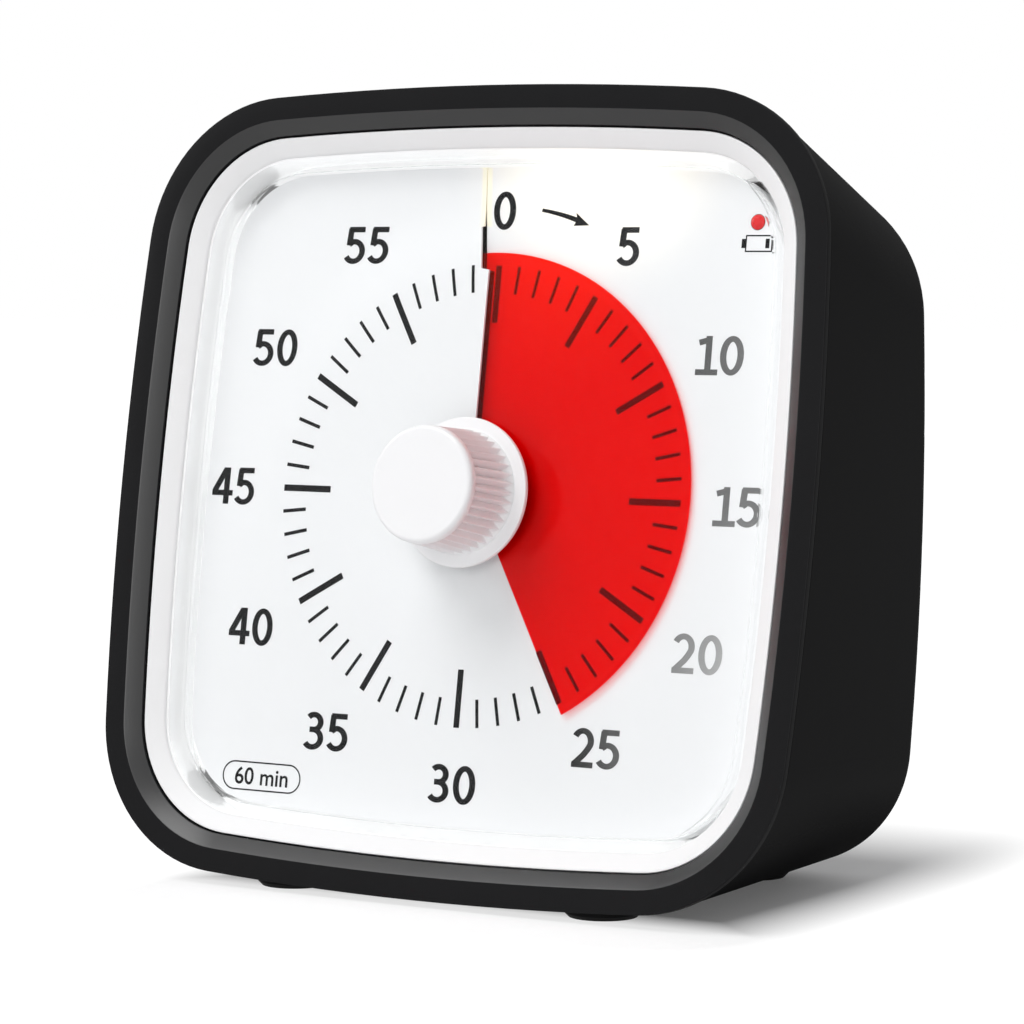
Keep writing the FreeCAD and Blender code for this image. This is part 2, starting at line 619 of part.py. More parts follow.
# Battery bay, cells and contacts, in the upright back.
innerBack = backPlane - q.back_skin
bayBack = innerBack - q.bay_deep
bayOuterWide = q.bay_wide + 2 * q.bay_wall
bayOuterTall = q.bay_tall + 2 * q.bay_wall
bay = cut(
    join([box(-bayOuterWide / 2, bayBack, bayLow - q.bay_wall, bayOuterWide, q.bay_deep, bayOuterTall)]),
    [box(-q.bay_wide / 2, bayBack + q.bay_wall, bayLow, q.bay_wide, q.bay_deep, q.bay_tall)])
label(bay, "battery_bay")
cellY = bayBack + q.bay_wall + q.cell_radius
cellStart = -q.bay_wide / 2 + q.bay_wide - q.plate_thick - q.nub_long - q.cell_long
cells = []
springSpots = []
for sign in (-1, 1):
    z = q.bay_height + q.cell_apart * (0.5 * sign)
    if sign > 0:
        can = rod(cellStart, cellY, z, q.cell_radius, q.cell_long, "x")
        nub = rod(cellStart + q.cell_long - 0.1, cellY, z, q.nub_radius, q.nub_long + 0.1, "x")
        springSpots.append((-1, z))
    else:
        can = rod(-cellStart - q.cell_long, cellY, z, q.cell_radius, q.cell_long, "x")
        nub = rod(-cellStart - q.cell_long - q.nub_long, cellY, z, q.nub_radius, q.nub_long + 0.1, "x")
        springSpots.append((1, z))
    cells.append(join([can, nub]))
label(group(cells), "battery_cells")
plates = []
for sign in (-1, 1):
    for side in (-1, 1):
        z = q.bay_height + q.cell_apart * (0.5 * side)
        x = -q.bay_wide / 2 if sign < 0 else q.bay_wide / 2 - q.plate_thick
        plates.append(box(x, cellY - 5, z - 5.5, q.plate_thick, 10, 11))
label(group(plates), "contact_plates")
springRun = q.bay_wide - 2 * q.plate_thick - q.nub_long - q.cell_long
springs = []
for side, z in springSpots:
    body = doc.addObject("PartDesign::Body", "Leaf")
    sketch = sketchOn(body, "XZ_Plane")
    base = q.leaf_tall / 2
    tip = q.leaf_tip / 2
    foot = base - q.leaf_thick * 1.3
    inner = tip - q.leaf_thick * 0.4
    polygon(sketch, [(0, -base), (springRun, -tip), (springRun, tip), (0, base), (0, foot),
                     (springRun - q.leaf_thick, inner), (springRun - q.leaf_thick, -inner), (0, -foot)])
    pad = body.newObject("PartDesign::Pad", "Pad")
    pad.Profile = sketch
    pad.Midplane = True
    drive(pad, "Length", q.leaf_wide)
    if side > 0:
        body.Placement = FreeCAD.Placement(V(0, 0, 0), FreeCAD.Rotation(V(0, 0, 1), 180))
    moveTo(body, (q.bay_wide / 2 - q.plate_thick) * side, cellY, z)
    springs.append(body)
label(group(springs), "contact_springs")
door = cut(
    box(-q.door_wide / 2 + q.door_gap, backPlane - q.door_thick, doorLow + q.door_gap,
        q.door_wide - 2 * q.door_gap, q.door_thick, q.door_tall - 2 * q.door_gap),
    [box(-6, backPlane - 0.8, doorLow + q.door_tall - 6, 12, 2, 3)])
label(door, "battery_door")

# Circuit board on four pillars, with the sounder and the two switches.
boardBack = innerBack - q.board_gap
boardLow = q.board_height - q.board_tall / 2
board = box(-q.board_wide / 2, boardBack - q.board_thick, boardLow, q.board_wide, q.board_thick, q.board_tall)
label(board, "circuit_board")
pillars = []
for sx in (-1, 1):
    for sz in (-1, 1):
        pillars.append(rod((q.board_wide / 2 - 3.5) * sx, boardBack,
                           q.board_height + (q.board_tall / 2 - 3.5) * sz,
                           q.pillar_radius, q.board_gap, "y"))
label(group(pillars), "board_pillars")
sounder = cut(rod(0, boardBack, q.board_height, q.sounder_radius, q.sounder_deep, "y"),
              [rod(0, boardBack + q.sounder_deep - 2, q.board_height, 1.5, 3, "y")])
label(sounder, "sounder")
toggleBase = cut(
    box(q.slide_place - 7, boardBack, q.board_height - 4, 14, q.toggle_deep, 8),
    [box(q.slide_place - q.slide_wide / 2 - q.slide_travel / 2 - 0.2, boardBack + 1,
         q.board_height - 1.7, q.slide_wide + q.slide_travel + 0.4, q.toggle_deep, 3.4)])
label(toggleBase, "sound_switch_body")
slideStart = q.slide_place - q.slide_travel / 2 - q.slide_wide / 2
slider = join([
    box(slideStart, boardBack + 1.1, q.board_height - 1.5, q.slide_wide, q.board_gap - 1.1 + 0.2, 3.0),
    box(slideStart, innerBack + 0.1, q.board_height - q.slide_tall / 2, q.slide_wide,
        q.back_skin - 0.1 + q.slide_proud, q.slide_tall)])
label(slider, "sound_switch")
pushBase = cut(box(q.push_place - 4, boardBack, q.board_height - 4, 8, q.toggle_deep - 0.5, 8),
               [rod(q.push_place, boardBack + 1.0, q.board_height, 1.8, 5, "y")])
label(pushBase, "light_switch_body")
pushStem = rod(q.push_place, boardBack + 1.0 + q.push_travel + 0.1, q.board_height, 1.7,
               q.board_gap - q.push_travel, "y")
pushCap = rod(q.push_place, innerBack - 1.2, q.board_height, q.push_radius,
              q.back_skin + 1.2 + q.push_proud, "y")
pushRim = rod(q.push_place, innerBack - 2.0, q.board_height, q.push_radius + 1.2, 1.9, "y")
label(join([pushStem, pushCap, pushRim]), "light_button")

doc.recompute()
for item in parts:
    state = [word for word in item.State if word in ("Invalid", "Error")]
    shape = item.Shape
    if state or shape.isNull() or not shape.isValid() or not shape.Solids:
        raise RuntimeError("%s is not sound: %s" % (item.Label, item.State))
    shape.exportStep("parts/%s.step" % item.Label)
    print("%-20s solids %2d volume %10.1f" % (item.Label, len(shape.Solids), shape.Volume))
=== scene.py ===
import math

import bpy
import numpy as np
from mathutils import Matrix, Vector


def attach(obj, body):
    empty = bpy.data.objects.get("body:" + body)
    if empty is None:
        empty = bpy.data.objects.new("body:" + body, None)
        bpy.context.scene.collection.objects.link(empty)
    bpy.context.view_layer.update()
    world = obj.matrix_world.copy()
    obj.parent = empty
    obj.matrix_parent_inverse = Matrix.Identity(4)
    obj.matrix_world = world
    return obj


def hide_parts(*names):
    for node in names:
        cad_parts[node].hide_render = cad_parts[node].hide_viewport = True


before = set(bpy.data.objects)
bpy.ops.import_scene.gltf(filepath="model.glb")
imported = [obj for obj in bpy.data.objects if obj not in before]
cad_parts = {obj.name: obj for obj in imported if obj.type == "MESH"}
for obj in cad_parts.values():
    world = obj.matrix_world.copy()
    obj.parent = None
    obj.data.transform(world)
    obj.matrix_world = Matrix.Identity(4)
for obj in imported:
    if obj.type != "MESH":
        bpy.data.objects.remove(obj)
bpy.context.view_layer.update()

# Lengths in the tables are millimetres about the dial's middle: x right, y up, z out of the dial. That middle
# itself is in metres, in the part's frame.
mm = 0.001
dial = dict(
    lean=9.0, middle=(0.0, -0.017, 0.06885), rise=1.98, half=70.0, bow=700.0, corner=27.0, cornerStep=0.9)
# Camera fitted to the photo; its eye is in units of the tick ring's radius.
shot = dict(
    unit=40.18, eye=(9.0435, -1.2715, 14.1836), right=(0.84813, 0.08636, -0.52271),
    up=(-0.03542, 0.99366, 0.10670), lens=138.135, sensor=36.0)
dialMatrix = Matrix.Translation(dial["middle"]) @ Matrix.Rotation(math.radians(90 - dial["lean"]), 4, "X")


class Wire:
    # A node socket that can be used in sums.
    def __init__(self, tree, socket):
        self.tree = tree
        self.socket = socket

    def math(self, operation, *others):
        node = self.tree.nodes.new("ShaderNodeMath")
        node.operation = operation
        for place, value in enumerate((self,) + others):
            feed(self.tree, value, node.inputs[place])
        return Wire(self.tree, node.outputs[0])

    def __add__(self, other):
        return self.math("ADD", other)

    def __sub__(self, other):
        return self.math("SUBTRACT", other)

    def __mul__(self, other):
        return self.math("MULTIPLY", other)

    def __truediv__(self, other):
        return self.math("DIVIDE", other)

    def clamp(self):
        return self.math("MINIMUM", 1.0).math("MAXIMUM", 0.0)


def feed(tree, value, socket):
    if isinstance(value, Wire):
        tree.links.new(value.socket, socket)
    else:
        socket.default_value = value


class Graph:
    # Builds nodes in a shader or geometry tree.
    def __init__(self, tree):
        self.tree = tree

    def node(self, kind, output=0, settings=None, **inputs):
        node = self.tree.nodes.new(kind)
        for name, value in (settings or {}).items():
            setattr(node, name, value)
        for name, value in inputs.items():
            feed(self.tree, value, node.inputs[name.replace("_", " ")])
        return Wire(self.tree, node.outputs[output])

    def fill(self, wire, values):
        # Feeds numbered inputs of the node that a wire comes from.
        for place, value in values.items():
            feed(self.tree, value, wire.socket.node.inputs[place])
        return wire

    def mixColor(self, amount, low, high):
        # Inputs 6 and 7 and output 2 are this node's colours.
        mix = self.node("ShaderNodeMix", 2, settings=dict(data_type="RGBA"))
        return self.fill(mix, {0: amount, 6: low, 7: high})

    def rays(self, *kinds):
        # One for a ray of any of these kinds.
        found = self.node("ShaderNodeLightPath", kinds[0])
        for kind in kinds[1:]:
            found = found.math("MAXIMUM", self.node("ShaderNodeLightPath", kind))
        return found


class Finish:
    # One material with a Principled surface.
    def __init__(self, name, color, rough, **constants):
        self.material = bpy.data.materials.new(name)
        self.material.use_nodes = True
        self.graph = Graph(self.material.node_tree)
        self.surface = self.material.node_tree.nodes["Principled BSDF"]
        self.plain = Wire(self.graph.tree, self.surface.outputs[0])
        self.output = self.material.node_tree.nodes["Material Output"]
        self.surface.inputs["Base Color"].default_value = (*color, 1.0)
        self.surface.inputs["Roughness"].default_value = rough
        self.material.diffuse_color = (*color, 1.0)
        self.color = color
        self.rough = rough
        for key, value in constants.items():
            self.surface.inputs[key.replace("_", " ")].default_value = value

    def place(self):
        return self.graph.node("ShaderNodeTexCoord", "Object")

    def axis(self, number):
        # The place along x, y or z, as 0, 1 or 2.
        return self.graph.node("ShaderNodeSeparateXYZ", number, Vector=self.place())

    def noise(self, scale, detail=2.0):
        return self.graph.node("ShaderNodeTexNoise", 0, Vector=self.place(), Scale=scale, Detail=detail)

    def into(self, name, wire):
        feed(self.graph.tree, wire, self.surface.inputs[name])

    def blend(self, amount, first, second):
        # Shows two shaders mixed; an amount of one is all the second.
        mix = self.graph.fill(self.graph.node("ShaderNodeMixShader"), {0: amount, 1: first, 2: second})
        feed(self.graph.tree, mix, self.output.inputs["Surface"])

    def mottle(self, scale, amount):
        # Slight unevenness of tone.
        dark = (*[c * (1 - amount) for c in self.color], 1.0)
        light = (*[min(1.0, c * (1 + amount)) for c in self.color], 1.0)
        self.into("Base Color", self.graph.mixColor(self.noise(scale), dark, light))

    def grain(self, scale, height, spread=0.0):
        # Fine moulded grain, and the roughness that goes with it.
        speck = self.noise(scale, 3.0)
        bump = self.graph.node("ShaderNodeBump", 0, Height=speck, Distance=height, Strength=1.0)
        self.into("Normal", bump)
        if spread:
            self.into("Roughness", speck * spread + (self.rough - spread / 2))


inkBlack = (0.008, 0.008, 0.0085)


def makeFinishes():
    made = {}

    def add(key, *args, **constants):
        made[key] = Finish(key, *args, **constants)
        return made[key]

    # Two copies of one black plastic: the frame's is lighter, painted light for the lit front, and the shell's
    # darker, painted shade for the housing's dim sides and back.
    for key, color, coat, coatRough in (("satinBlack", (0.0105, 0.0105, 0.0112), 0.13, 0.26),
                                        ("shellBlackShaded", (0.0048, 0.0048, 0.0052), 0.055, 0.24)):
        black = add(key, color, 0.5, Specular_IOR_Level=0.0, Coat_Weight=coat, Coat_Roughness=coatRough)
        black.mottle(60, 0.12)
        black.grain(5200, 0.000012, 0.08)
    bevel = add("bevelBlack", (0.008, 0.008, 0.0085), 0.34, Specular_IOR_Level=0.55)
    bevel.grain(5200, 0.000008, 0.06)
    soft = add("rubberBlack", (0.006, 0.006, 0.006), 0.7, Specular_IOR_Level=0.1)
    soft.grain(3000, 0.00002, 0.1)
    # The second white glows: painted light for the liner's shaded inner wall.
    for key, glow in (("linerWhite", 0.0), ("linerPaintedLight", 0.34)):
        white = add(key, (0.83, 0.83, 0.835), 0.5, Emission_Color=(1.0, 1.0, 1.0, 1.0),
                    Emission_Strength=glow)
        white.mottle(40, 0.01)
        white.grain(4200, 0.00002, 0.08)
    knob = add("knobWhite", (0.86, 0.86, 0.87), 0.34)
    knob.mottle(50, 0.008)
    knob.grain(6000, 0.000004, 0.05)
    add("ink", inkBlack, 0.5, Specular_IOR_Level=0.08).mottle(200, 0.1)
    nylon = add("nylon", (0.72, 0.69, 0.60), 0.4)
    nylon.mottle(80, 0.03)
    grey = add("mouldGrey", (0.10, 0.10, 0.105), 0.5)
    grey.grain(3500, 0.00002, 0.1)
    steel = add("platedSteel", (0.62, 0.62, 0.63), 0.28, Metallic=1.0)
    steel.mottle(300, 0.06)
    steel.grain(2600, 0.000004, 0.12)
    copper = add("copperWire", (0.62, 0.24, 0.08), 0.35, Metallic=0.7)
    copper.mottle(900, 0.2)
    board = add("boardGreen", (0.012, 0.13, 0.045), 0.35)
    board.mottle(260, 0.15)
    wrap = add("cellWrap", (0.05, 0.05, 0.055), 0.3)
    wrap.mottle(90, 0.2)
    blackSwitch = add("switchBlack", (0.022, 0.022, 0.023), 0.42)
    blackSwitch.grain(4200, 0.000015, 0.1)
    warm = add("ledWarm", (0.9, 0.82, 0.6), 0.3, Emission_Color=(1.0, 0.72, 0.36, 1.0),
               Emission_Strength=2.0)
    warm.mottle(300, 0.03)
    led = add("ledRed", (0.66, 0.002, 0.004), 0.12, Emission_Color=(1.0, 0.004, 0.006, 1.0),
              Emission_Strength=0.07)
    led.mottle(400, 0.1)
    return made


def nearness(finish, spot, reach, power):
    # One at a spot on the dial, falling to nothing at some distance.
    reach *= mm
    away = finish.graph.node("ShaderNodeVectorMath", "Value", settings=dict(operation="DISTANCE"))
    finish.graph.fill(away, {0: finish.place(), 1: dialMatrix @ (Vector(spot) * mm)})
    return ((away * -1.0 + reach) * (1 / reach)).math("MAXIMUM", 0.0).math("POWER", power)


def glowColor(finish, amount, color):
    finish.into("Emission Color", finish.graph.mixColor(amount, (0, 0, 0, 1), (*color, 1)))


# The film lets most light through; solid is the share of its own surface.
redFilm = dict(
    color=(0.80, 0.001, 0.003), through=(1.0, 0.002, 0.003, 1.0), solid=0.08, spot=(14, 50, 0), reach=32,
    power=1.6, glow=(1.0, 0.16, 0.02))


def redFilmFinish(made):
    # What lies under the film shows through red; a warm glow near its top is painted light from the night lamp.
    film = Finish("redFilm", made["color"], 0.2, Specular_IOR_Level=0.08, Emission_Strength=1.0)
    film.mottle(30, 0.02)
    # Painted light: warm glow near the film's top.
    glowColor(film, nearness(film, made["spot"], made["reach"], made["power"]), made["glow"])
    film.blend(made["solid"], film.graph.node("ShaderNodeBsdfTransparent", Color=made["through"]), film.plain)
    return film


def clearFinish(name, tint, plain=0.0):
    # Clear moulding: lamps reach what lies behind it; plain is the share that bends no light.
    glass = Finish(name, tint, 0.02, Transmission_Weight=1.0, IOR=1.3, Specular_Tint=(0.3, 0.3, 0.3, 1.0))
    through = glass.graph.rays("Is Shadow Ray", "Is Diffuse Ray").math("MAXIMUM", plain)
    clear = glass.graph.node("ShaderNodeBsdfTransparent", Color=(*[c ** 0.5 for c in tint], 1.0))
    glass.blend(through, glass.plain, clear)
    glass.into("Roughness", glass.noise(90) * 0.02)
    return glass


# Painted light from the night lamp: a warm strip of colour along the closed cut and a warm glow at the card's
# top. The strip's low, tall, side and lean are metres.
paintedWarmLight = dict(
    low=0.0464, tall=0.0115, side=0.0029, lean=0.0009, steep=2500.0, full=3.0, start=0.02, soften=40.0,
    color=(0.98, 0.93, 0.78, 1), glow=1.2, spot=(19, 62, 0), reach=32, power=2.0, light=(1.0, 0.84, 0.56))


def dialFinish(made):
    # White card with painted warm light from the night lamp: a glow at its top edge and a warm strip along the
    # closed cut.
    white = Finish("dialWhite", (0.85, 0.855, 0.865), 0.42, Specular_IOR_Level=0.3,
                   Emission_Strength=made["glow"])
    white.mottle(25, 0.006)
    white.grain(3800, 0.000006, 0.06)
    high = (white.axis(2) - (dial["middle"][2] + made["low"])) * (1 / made["tall"])
    aside = (white.axis(0) + (high * made["lean"] + made["side"])).math("ABSOLUTE")
    strip = (aside * -made["steep"] + made["full"]).clamp()
    strip = strip * ((high + made["start"]) * made["soften"]).clamp()
    base = Wire(white.graph.tree, white.surface.inputs["Base Color"].links[0].from_socket)
    # Painted light: the warm strip along the cut.
    white.into("Base Color", white.graph.mixColor(strip, base, made["color"]))
    # Painted light: the warm glow near the card's top.
    glowColor(white, nearness(white, made["spot"], made["reach"], made["power"]), made["light"])
    return white


# Half is the dark square's half width and drop how far it sits below the dial's middle, in metres.
platePaintedLightSizes = dict(half=0.0545, drop=0.0008, sharp=4000.0, dark=(0.02, 0.018, 0.016, 1), white=(0.8, 0.8, 0.8, 1))


def plateFinish(made):
    # The plate behind the card is dark within; outside the dark square, where the lens stands on it, it is
    # painted white and glows: painted light for the shaded gap under the lens rim.
    plate = Finish("platePaintedLight", (0.78, 0.78, 0.785), 0.55, Emission_Strength=0.3)
    high = (plate.axis(2) - (dial["middle"][2] - made["drop"])).math("ABSOLUTE")
    square = plate.axis(0).math("ABSOLUTE").math("MAXIMUM", high)
    # Painted light: white and glowing outside the dark square.
    outside = ((square - made["half"]) * made["sharp"]).clamp()
    plate.into("Base Color", plate.graph.mixColor(outside, made["dark"], made["white"]))
    glowColor(plate, outside, (1.0, 1.0, 1.0))
    plate.grain(3000, 0.00002)
    return plate


# Painted glare on the numerals: start and wide run to the right, and tall runs down, in metres from the dial's
# middle.
paintedGlare = dict(start=0.020, wide=0.031, power=1.5, tall=0.030, low=0.28, least=0.17)


def numeralFinish(made):
    # Painted glare: the numerals' ink turns grey towards the right, most of all low down, for the lens's glare
    # over them.
    ink = Finish("numeralInkAndGlare", inkBlack, 0.5, Specular_IOR_Level=0.08)
    right = ((ink.axis(0) - made["start"]) * (1 / made["wide"])).clamp().math("POWER", made["power"])
    low = ((ink.axis(2) * -1.0 + dial["middle"][2]) * (1 / made["tall"])).clamp()
    # Painted glare: the share of grey mixed into the ink.
    grey = right * (low * made["low"] + made["least"])
    ink.into("Base Color", ink.graph.mixColor(grey, (*inkBlack, 1), (1.0, 1.0, 1.0, 1)))
    return ink


clearTint = (0.985, 0.99, 0.99)
finish = makeFinishes()
finish["numeralInkAndGlare"] = numeralFinish(paintedGlare)
finish["redFilm"] = redFilmFinish(redFilm)
finish["clearLens"] = clearFinish("clearLens", clearTint)
finish["clearRim"] = clearFinish("clearRim", clearTint, plain=0.72)
finish["clearGuide"] = clearFinish("clearGuide", (0.97, 0.97, 0.95))
finish["dialWhite"] = dialFinish(paintedWarmLight)
finish["platePaintedLight"] = plateFinish(platePaintedLightSizes)
print("finishes", len(finish))


def onDial(x, y, z):
    # A point in the dial's millimetres, in the part's frame.
    return dialMatrix @ Vector((x * mm, y * mm, z * mm))


def addPiece(name, points, faces, key, body, slot=None, instead=(), sharp=35):
    mesh = bpy.data.meshes.new(name)
    mesh.from_pydata([tuple(onDial(*point)) for point in points], [], faces)
    mesh.validate()
    return dress(name, mesh, key, body, instead, sharp)


def dress(name, mesh, key, body, instead=(), sharp=35):
    mesh.name = name
    item = bpy.data.objects.new(name, mesh)
    bpy.context.scene.collection.objects.link(item)
    mesh.materials.clear()
    mesh.materials.append(finish[key].material)
    mesh.shade_smooth()
    if sharp:
        mesh.set_sharp_from_angle(angle=math.radians(sharp))
    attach(item, body)
    if instead:
        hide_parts(*instead)
    return item


def outline(half, corner=None, sideSteps=14, cornerSteps=20):
    # Rounded square with bowed sides, as eight tangent arcs.
    if corner is None:
        corner = dial["corner"] - (dial["half"] - half) * dial["cornerStep"]
    bow = dial["bow"]
    e = half - bow
    reach = bow - corner
    c = (e + math.sqrt(2 * reach ** 2 - e ** 2)) / 2
    turn = math.atan2(c, c - e)
    points = []
    for quarter in range(4):
        cosine, sine = math.cos(quarter * math.pi / 2), math.sin(quarter * math.pi / 2)
        arcs = [(e, 0, bow, -turn, turn, sideSteps), (c, c, corner, turn, math.pi / 2 - turn, cornerSteps)]
        for cx, cy, radius, low, high, steps in arcs:
            for k in range(steps):
                a = low + (high - low) * k / steps
                x, y = cx + radius * math.cos(a), cy + radius * math.sin(a)
                points.append((x * cosine - y * sine, x * sine + y * cosine))
    return points


# Gives the directions of a loft's columns.
ringBase = outline(57.0)


def loft(name, stations, key, body, **more):
    # Each station is (half width, level), or ("round", radius, level) for a circle.
    points = []
    for station in stations:
        if station[0] == "round":
            for x, y in ringBase:
                size = math.hypot(x, y)
                points.append((station[1] * x / size, station[1] * y / size, station[2]))
        else:
            points += [(x, y, station[1]) for x, y in outline(station[0])]
    faces = []
    count, rows = len(ringBase), len(stations)
    for i in range(rows):
        j = (i + 1) % rows
        for k in range(count):
            n = (k + 1) % count
            faces.append((i * count + n, i * count + k, j * count + k, j * count + n))
    return addPiece(name, points, faces, key, body, **more)


def rounded(profile, radius, steps=4):
    # Rounds the corners of a closed profile of (half, level) points.
    out = []
    count = len(profile)
    for i in range(count):
        a, b, c = (Vector(profile[j % count]) for j in (i - 1, i, i + 1))
        before, after = (a - b), (c - b)
        cut = min(radius, before.length * 0.45, after.length * 0.45)
        start = b + before.normalized() * cut
        end = b + after.normalized() * cut
        for k in range(steps + 1):
            t = k / steps
            p = start * (1 - t) ** 2 + b * 2 * t * (1 - t) + end * t ** 2
            out.append((p.x, p.y))
    return out


def paintRows(item, key, low, high):
    # Gives a loft's rows of faces another finish.
    item.data.materials.append(finish[key].material)
    count = len(ringBase)
    for face in item.data.polygons:
        if low * count <= face.index < high * count:
            face.material_index = 1


frameLoft = dict(
    profile=[(66.7, 3.4), (63.3, 3.4), (63.3, 7.35), (65.9, 9.4), (70.0, 9.4), (70.0, 8.0), (69.1, 8.0),
             (69.1, 7.45), (66.7, 7.45)], radius=0.2, bevelRows=(13, 17))
paintRows(loft("frontFrame", rounded(frameLoft["profile"], frameLoft["radius"]), "satinBlack", "housing",
               slot="black_plastic", instead=["front_frame"]), "bevelBlack", *frameLoft["bevelRows"])
# The liner's inner wall glows: painted light for the shade in the band between the lens rim and the card.
linerLoft = dict(
    profile=[(65.0, -3.2), (59.7, -3.2), (59.7, 5.2), (63.1, 7.2), (63.1, 3.4), (65.0, 3.4)], radius=0.5,
    paintedLightRows=(5, 11))
paintRows(loft("whiteLiner", rounded(linerLoft["profile"], linerLoft["radius"]), "linerWhite", "housing",
               slot="white_plastic", instead=["white_liner"]), "linerPaintedLight", *linerLoft["paintedLightRows"])
lensLoft = dict(
    hole=[(7.0, 3.3), (7.2, 3.5), (7.6, 3.5)],
    rim=[(56.7, 3.5), (57.2, 3.5), (57.45, 3.55), (57.6, 3.75), (57.7, 4.75), (57.85, 4.95), (58.1, 5.0),
         (59.2, 5.0), (59.5, 4.9), (59.6, 4.6), (59.6, -3.2), (57.6, -3.2), (57.6, 2.3), (57.45, 2.45),
         (57.2, 2.5), (56.7, 2.5)],
    back=[(7.6, 2.5), (7.2, 2.5), (7.0, 2.7)])


def makeLens(made):
    first = len(made["hole"])
    stations = [("round", *p) for p in made["hole"]] + made["rim"] + [("round", *p) for p in made["back"]]
    item = loft("clearLens", stations, "clearLens", "housing", slot="clear_plastic", instead=["clear_lens"],
                sharp=50)
    paintRows(item, "clearRim", first, first + len(made["rim"]) - 1)


makeLens(lensLoft)


# The card is a shallow screw surface near the disc and flat outside it. A cut just left of twelve lets the
# disc through: straight, then stepped aside, then closed.
card = dict(
    half=57.4, thick=0.4, rim=1.2, seat=-3.2, sink=0.2, columns=420, dense=120, fadeFrom=37.0, fadeTo=53.0,
    rings=(6.5, 8, 11, 15, 20, 25, 30, 34, 37, 38.6, 39.2, 39.5, 40.2, 41.5, 43, 44.5, 46, 46.95, 47.1, 48,
           49, 50, 51, 52, 53.2, 54.5),
    spread=(0.25, 0.5, 0.75, 0.9, 0.96, 1.0),
    cutRight=((0, -0.9), (39.2, -0.9), (39.5, -2.50), (46.95, -2.92), (47.1, -2.93), (70, -4.4)),
    cutLeft=((0, -0.9), (39.2, -0.9), (39.5, -2.50), (46.95, -3.62), (47.1, -3.08), (70, -4.56)))


def along(table, value):
    return float(np.interp(value, [row[0] for row in table], [row[1] for row in table]))


def cardLevel(x, y, left=None):
    # Level of the card's front face at a point; left says on which side of the cut it counts.
    far = math.hypot(x, y)
    angle = math.atan2(x, y)
    if left is None:
        left = x < 0 and (y < 0 or x < along(card["cutRight"], far))
    if left and angle < 1.0:
        angle += 2 * math.pi
    fade = min(max((far - card["fadeFrom"]) / (card["fadeTo"] - card["fadeFrom"]), 0.0), 1.0)
    swell = 1 - fade * fade * (3 - 2 * fade)
    return swell * (angle / (2 * math.pi) - 0.5) * dial["rise"] + card["thick"] / 2 - card["sink"] * (1 - swell)


# How far print stands above the card.
inkLift = 0.03


def makeCard(made):
    def edgeReach(half, angle):
        # Distance from the middle to a rounded square's edge at some angles.
        loop = outline(half, sideSteps=made["dense"], cornerSteps=made["dense"])
        table = sorted((math.atan2(x, y) % (2 * math.pi), math.hypot(x, y)) for x, y in loop)
        return np.interp(angle % (2 * math.pi), [a for a, r in table], [r for a, r in table],
                         period=2 * math.pi)

    def spots(sizes, turns):
        return [(size * math.sin(turn), size * math.cos(turn)) for size, turn in zip(sizes, turns)]

    count = made["columns"]
    shares = np.arange(count) / (count - 1)
    rows = []
    for radius in made["rings"]:
        start = math.asin(along(made["cutRight"], radius) / radius)
        stop = math.asin(along(made["cutLeft"], radius) / radius) + 2 * math.pi
        rows.append((start + (stop - start) * shares, np.full(count, radius)))
    edge, angles = made["rings"][-1], rows[-1][0]
    outer, inside = edgeReach(made["half"], angles), edgeReach(made["half"] - made["rim"], angles)
    for part in made["spread"]:
        rows.append((angles, edge + (outer - edge) * part))
    top, under = [], []
    for turns, sizes in rows:
        top.append([(x, y, cardLevel(x, y, k > count // 2)) for k, (x, y) in enumerate(spots(sizes, turns))])
        under.append([(x, y, level - made["thick"]) for x, y, level in top[-1]])
    foot = [(x, y, made["seat"]) for x, y in spots(outer, angles)]
    step = [(x, y, made["seat"]) for x, y in spots(inside, angles)]
    under[-1] = [(x, y, front[2] - made["thick"]) for (x, y), front in zip(spots(inside, angles), top[-1])]
    # One closed loop per column, from the hole out over the front and back along the rear.
    loop = top + [foot, step] + under[::-1]
    points = [point for line in loop for point in line]
    length = len(loop)
    faces = []
    for i in range(length):
        n = (i + 1) % length
        for k in range(count - 1):
            faces.append((i * count + k, n * count + k, n * count + k + 1, i * count + k + 1))
    # Walls on the cut's two sides.
    last = len(top) - 1
    for k, flip in ((0, False), (count - 1, True)):
        for i in range(last):
            a, b = i * count + k, (i + 1) * count + k
            c, d = (length - 2 - i) * count + k, (length - 1 - i) * count + k
            faces.append((a, d, c, b) if flip else (a, b, c, d))
    return addPiece("dialCard", points, faces, "dialWhite", "housing", slot="dial_card",
                    instead=["dial_card"], sharp=40)


makeCard(card)


def bake(item):
    # The finished mesh of an object that is needed for nothing else.
    bpy.context.scene.collection.objects.link(item)
    bpy.context.view_layer.update()
    mesh = bpy.data.meshes.new_from_object(item.evaluated_get(bpy.context.evaluated_depsgraph_get()))
    bpy.data.objects.remove(item)
    return mesh


